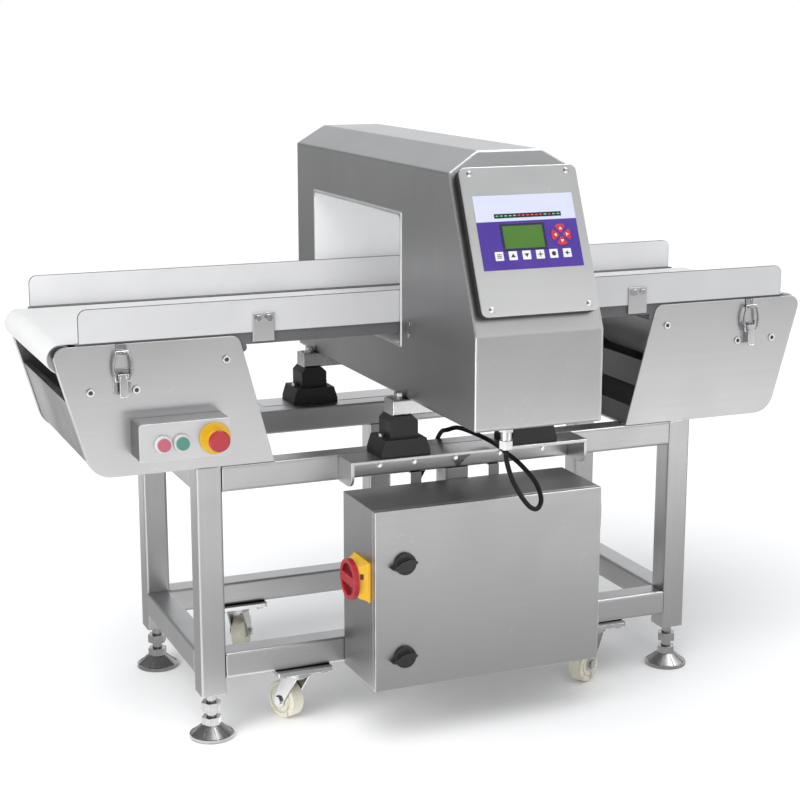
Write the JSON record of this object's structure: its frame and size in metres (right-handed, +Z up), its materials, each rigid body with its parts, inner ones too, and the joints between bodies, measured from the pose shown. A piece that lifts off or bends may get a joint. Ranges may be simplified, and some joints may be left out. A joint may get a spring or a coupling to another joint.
{
  "type": "conveyor food metal detector",
  "caption": "Belt conveyor on a wheeled steel stand that carries food through the tunnel of a metal-detecting search head, with a slanted control console and a switch cabinet below.",
  "frame": {"origin": "on the floor under the centre of the machine's bounding box, between the four levelling feet's faces at Z 0", "axes": "+X along the belt towards the drum end, -Y towards the operator's side with the console, +Z up"},
  "size_m": [1.59, 0.9274, 1.128],
  "materials": {
    "stainless": "satin brushed stainless steel",
    "dark_metal": "dull zinc-plated or turned steel",
    "rollers": "turned steel",
    "white_plastic": "smooth white plastic",
    "belt_cover": "smooth white belt cover",
    "bed_plastic": "dark grey plastic profile",
    "black_rubber": "dull black rubber",
    "black_plastic": "black moulded plastic",
    "wheel_cream": "cream nylon",
    "pink_red": "glossy button cap",
    "teal": "glossy button cap",
    "red_plastic": "glossy red plastic",
    "yellow_plastic": "glossy yellow plastic",
    "label": "printed plastic label sheet",
    "display": "green liquid-crystal display behind a clear window",
    "coil_copper": "taped copper winding",
    "board": "green circuit board",
    "gear_grey": "grey electrical housings"
  },
  "bodies": {
    "stand": {"stand_legs": "stainless", "stand_rails": "stainless", "mount_shelves": "stainless", "caster_plates": "stainless", "rubber_mounts": "black_rubber", "head_bars": "stainless", "head_shell": "stainless", "tunnel_liner": "white_plastic", "search_coils": "coil_copper", "signal_board": "board", "console_gasket": "black_rubber", "console_lid": "stainless", "head_screws": "dark_metal", "control_panel": "label", "display_window": "display", "side_plates": "stainless", "end_pans": "stainless", "conveyor_bed": "bed_plastic", "belt": "belt_cover", "guards": "white_plastic", "guard_clamps": "stainless", "roller_bearings": "dark_metal", "control_box": "stainless", "button_bezels": "white_plastic", "latch_bases": "stainless", "cabinet_box": "stainless", "isolator_plate": "yellow_plastic", "cable_glands": "stainless", "signal_cable": "black_rubber", "cabinet_gear": "gear_grey"},
    "foot_front_left": {"foot_front_left": "dark_metal"},
    "fork_front_left": {"fork_front_left": "stainless"},
    "wheel_front_left": {"wheel_front_left": "wheel_cream"},
    "foot_front_right": {"foot_front_right": "dark_metal"},
    "fork_front_right": {"fork_front_right": "stainless"},
    "wheel_front_right": {"wheel_front_right": "wheel_cream"},
    "foot_rear_left": {"foot_rear_left": "dark_metal"},
    "fork_rear_left": {"fork_rear_left": "stainless"},
    "wheel_rear_left": {"wheel_rear_left": "wheel_cream"},
    "foot_rear_right": {"foot_rear_right": "dark_metal"},
    "fork_rear_right": {"fork_rear_right": "stainless"},
    "wheel_rear_right": {"wheel_rear_right": "wheel_cream"},
    "end_roller_left": {"end_roller_left": "rollers"},
    "end_roller_right": {"end_roller_right": "rollers"},
    "drive_drum": {"drive_drum": "rollers"},
    "cabinet_door": {"cabinet_door": "stainless"},
    "lock_upper": {"lock_upper": "black_plastic"},
    "lock_lower": {"lock_lower": "black_plastic"},
    "isolator_handle": {"isolator_handle": "red_plastic"},
    "stop_button": {"stop_button": "pink_red"},
    "start_button": {"start_button": "teal"},
    "estop_button": {"estop_button": "red_plastic"},
    "latch_lever_front_left": {"latch_lever_front_left": "stainless"},
    "latch_bail_front_left": {"latch_bail_front_left": "stainless"},
    "latch_lever_front_right": {"latch_lever_front_right": "stainless"},
    "latch_bail_front_right": {"latch_bail_front_right": "stainless"},
    "latch_lever_rear_left": {"latch_lever_rear_left": "stainless"},
    "latch_bail_rear_left": {"latch_bail_rear_left": "stainless"},
    "latch_lever_rear_right": {"latch_lever_rear_right": "stainless"},
    "latch_bail_rear_right": {"latch_bail_rear_right": "stainless"}
  },
  "joints": [
    {"name": "foot_front_left_screw", "type": "slide", "parent": "stand", "child": "foot_front_left", "axis": [0, 0, 1], "range_m": [-0.02, 0]},
    {"name": "swivel_front_left", "type": "hinge", "parent": "stand", "child": "fork_front_left", "pos_m": [-0.327, -0.08582, 0.11], "axis": [0, 0, 1], "continuous": true},
    {"name": "roll_front_left", "type": "hinge", "parent": "fork_front_left", "child": "wheel_front_left", "pos_m": [-0.34224, -0.04992, 0.0395], "axis": [-0.9205, -0.3907, 0], "continuous": true},
    {"name": "foot_front_right_screw", "type": "slide", "parent": "stand", "child": "foot_front_right", "axis": [0, 0, 1], "range_m": [-0.02, 0]},
    {"name": "swivel_front_right", "type": "hinge", "parent": "stand", "child": "fork_front_right", "pos_m": [0.327, -0.08582, 0.11], "axis": [0, 0, 1], "continuous": true},
    {"name": "roll_front_right", "type": "hinge", "parent": "fork_front_right", "child": "wheel_front_right", "pos_m": [0.29429, -0.10706, 0.0395], "axis": [0.5446, -0.8387, 0], "continuous": true},
    {"name": "foot_rear_left_screw", "type": "slide", "parent": "stand", "child": "foot_rear_left", "axis": [0, 0, 1], "range_m": [-0.02, 0]},
    {"name": "swivel_rear_left", "type": "hinge", "parent": "stand", "child": "fork_rear_left", "pos_m": [-0.327, 0.31918, 0.11], "axis": [0, 0, 1], "continuous": true},
    {"name": "roll_rear_left", "type": "hinge", "parent": "fork_rear_left", "child": "wheel_rear_left", "pos_m": [-0.3075, 0.35295, 0.0395], "axis": [-0.866, 0.5, 0], "continuous": true},
    {"name": "foot_rear_right_screw", "type": "slide", "parent": "stand", "child": "foot_rear_right", "axis": [0, 0, 1], "range_m": [-0.02, 0]},
    {"name": "swivel_rear_right", "type": "hinge", "parent": "stand", "child": "fork_rear_right", "pos_m": [0.327, 0.31918, 0.11], "axis": [0, 0, 1], "continuous": true},
    {"name": "roll_rear_right", "type": "hinge", "parent": "fork_rear_right", "child": "wheel_rear_right", "pos_m": [0.29323, 0.33868, 0.0395], "axis": [-0.5, -0.866, 0], "continuous": true},
    {"name": "drum_spin", "type": "hinge", "parent": "stand", "child": "drive_drum", "pos_m": [0.6, 0.11668, 0.665], "axis": [0, 1, 0], "continuous": true},
    {"name": "roller_left_spin", "type": "hinge", "parent": "stand", "child": "end_roller_left", "pos_m": [-0.768, 0.11668, 0.762], "axis": [0, 1, 0], "continuous": true},
    {"name": "roller_right_spin", "type": "hinge", "parent": "stand", "child": "end_roller_right", "pos_m": [0.768, 0.11668, 0.762], "axis": [0, 1, 0], "continuous": true},
    {"name": "door_hinge", "type": "hinge", "parent": "stand", "child": "cabinet_door", "pos_m": [0.236, -0.26002, 0.294], "axis": [0, 0, 1], "range_deg": [0, 120]},
    {"name": "lock_turn_upper", "type": "hinge", "parent": "cabinet_door", "child": "lock_upper", "pos_m": [-0.182, -0.27682, 0.365], "axis": [0, -1, 0], "range_deg": [0, 90]},
    {"name": "lock_turn_lower", "type": "hinge", "parent": "cabinet_door", "child": "lock_lower", "pos_m": [-0.182, -0.27682, 0.182], "axis": [0, -1, 0], "range_deg": [0, 90]},
    {"name": "isolator_turn", "type": "hinge", "parent": "stand", "child": "isolator_handle", "pos_m": [-0.256, -0.21232, 0.326], "axis": [-1, 0, 0], "range_deg": [0, 90]},
    {"name": "stop_button_press", "type": "slide", "parent": "stand", "child": "stop_button", "axis": [0, 1, 0], "range_m": [0, 0.004], "stiffness_N_per_m": 900, "springref_m": -0.002},
    {"name": "start_button_press", "type": "slide", "parent": "stand", "child": "start_button", "axis": [0, 1, 0], "range_m": [0, 0.004], "stiffness_N_per_m": 900, "springref_m": -0.002},
    {"name": "estop_button_press", "type": "slide", "parent": "stand", "child": "estop_button", "axis": [0, 1, 0], "range_m": [0, 0.006], "stiffness_N_per_m": 1500, "springref_m": -0.002},
    {"name": "lever_front_left", "type": "hinge", "parent": "stand", "child": "latch_lever_front_left", "pos_m": [-0.664, -0.11982, 0.728], "axis": [-1, 0, 0], "range_deg": [0, 150]},
    {"name": "bail_front_left", "type": "hinge", "parent": "latch_lever_front_left", "child": "latch_bail_front_left", "pos_m": [-0.664, -0.11982, 0.72], "axis": [-1, 0, 0], "range_deg": [-150, 0]},
    {"name": "lever_front_right", "type": "hinge", "parent": "stand", "child": "latch_lever_front_right", "pos_m": [0.664, -0.11982, 0.728], "axis": [-1, 0, 0], "range_deg": [0, 150]},
    {"name": "bail_front_right", "type": "hinge", "parent": "latch_lever_front_right", "child": "latch_bail_front_right", "pos_m": [0.664, -0.11982, 0.72], "axis": [-1, 0, 0], "range_deg": [-150, 0]},
    {"name": "lever_rear_left", "type": "hinge", "parent": "stand", "child": "latch_lever_rear_left", "pos_m": [-0.664, 0.35318, 0.728], "axis": [1, 0, 0], "range_deg": [0, 150]},
    {"name": "bail_rear_left", "type": "hinge", "parent": "latch_lever_rear_left", "child": "latch_bail_rear_left", "pos_m": [-0.664, 0.35318, 0.72], "axis": [1, 0, 0], "range_deg": [-150, 0]},
    {"name": "lever_rear_right", "type": "hinge", "parent": "stand", "child": "latch_lever_rear_right", "pos_m": [0.664, 0.35318, 0.728], "axis": [1, 0, 0], "range_deg": [0, 150]},
    {"name": "bail_rear_right", "type": "hinge", "parent": "latch_lever_rear_right", "child": "latch_bail_rear_right", "pos_m": [0.664, 0.35318, 0.72], "axis": [1, 0, 0], "range_deg": [-150, 0]}
  ],
  "couplings": [
    {"joint": "roller_left_spin", "follows": "drum_spin", "ratio": 1.5885},
    {"joint": "roller_right_spin", "follows": "drum_spin", "ratio": 1.5885},
    {"joint": "bail_front_left", "follows": "lever_front_left", "ratio": -1},
    {"joint": "bail_front_right", "follows": "lever_front_right", "ratio": -1},
    {"joint": "bail_rear_left", "follows": "lever_rear_left", "ratio": -1},
    {"joint": "bail_rear_right", "follows": "lever_rear_right", "ratio": -1}
  ]
}
